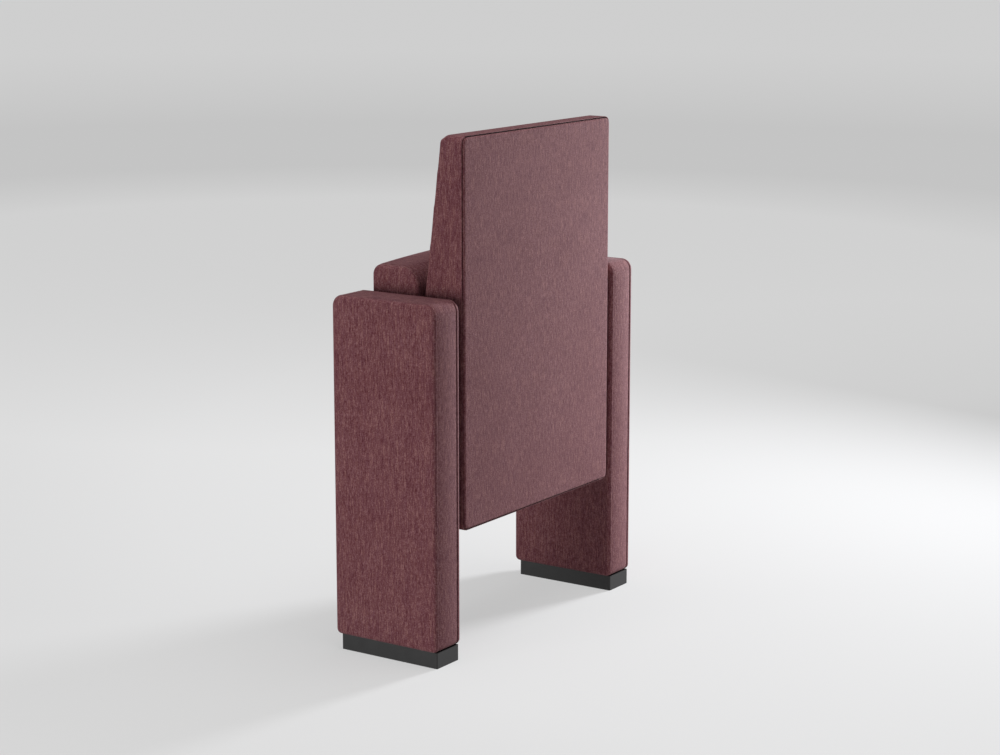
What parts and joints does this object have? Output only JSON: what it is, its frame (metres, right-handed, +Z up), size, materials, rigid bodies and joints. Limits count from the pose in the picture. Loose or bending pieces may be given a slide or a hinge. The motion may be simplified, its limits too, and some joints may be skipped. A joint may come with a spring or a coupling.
{
  "type": "tip up auditorium seat",
  "caption": "Tip up auditorium seat with a sprung seat hinged between two upholstered box side panels on black plinths and a tall upholstered back.",
  "frame": {"origin": "on the floor, under the middle of the seat's overall box", "axes": "+Z up, -Y is the way the sitter faces, +X is the sitter's left"},
  "size_m": [0.655, 0.22, 0.922],
  "materials": {
    "upholstery": "woven wool, plum with rust and violet slubs",
    "plywood": "raw",
    "plinth_black": "satin black",
    "painted_steel": "black powder coat",
    "bright_steel": "zinc plated",
    "nylon": "natural nylon",
    "rubber": "matte black"
  },
  "bodies": {
    "stand": {"back_board": "plywood", "back_board_screws": "bright_steel", "back_bracket_left": "painted_steel", "back_bracket_right": "painted_steel", "back_cushion": "upholstery", "back_rear_panel": "upholstery", "bracket_screws": "bright_steel", "foot_plate_left": "painted_steel", "foot_plate_right": "painted_steel", "pivot_stub_left": "bright_steel", "pivot_stub_right": "bright_steel", "plinth_left": "plinth_black", "plinth_right": "plinth_black", "rear_panel_studs": "nylon", "return_spring_left": "bright_steel", "return_spring_right": "bright_steel", "side_border_left": "upholstery", "side_border_right": "upholstery", "side_frame_left": "painted_steel", "side_frame_right": "painted_steel", "side_inner_board_left": "plywood", "side_inner_board_right": "plywood", "side_inner_pad_left": "upholstery", "side_inner_pad_right": "upholstery", "side_outer_board_left": "plywood", "side_outer_board_right": "plywood", "side_outer_pad_left": "upholstery", "side_outer_pad_right": "upholstery", "spring_collar_left": "bright_steel", "spring_collar_right": "bright_steel", "stop_buffers_left": "rubber", "stop_buffers_right": "rubber", "stop_plate_left": "painted_steel", "stop_plate_right": "painted_steel", "stop_plate_screws": "bright_steel", "stub_clip_left": "bright_steel", "stub_clip_right": "bright_steel", "stub_screws": "bright_steel"},
    "seat": {"arm_screws": "bright_steel", "hinge_arm_left": "painted_steel", "hinge_arm_right": "painted_steel", "pivot_bush_left": "nylon", "pivot_bush_right": "nylon", "seat_board": "plywood", "seat_cushion": "upholstery", "seat_frame": "painted_steel", "seat_under_panel": "upholstery", "stop_stud_left": "bright_steel", "stop_stud_right": "bright_steel", "under_panel_studs": "nylon"}
  },
  "joints": [
    {"name": "seat_tip", "type": "hinge", "parent": "stand", "child": "seat", "pos_m": [0, -0.06, 0.345], "axis": [1, 0, 0], "range_deg": [0, 88], "stiffness_Nm_per_rad": 6, "springref_deg": -34.38, "deforming": ["return_spring_left", "return_spring_right"]}
  ]
}
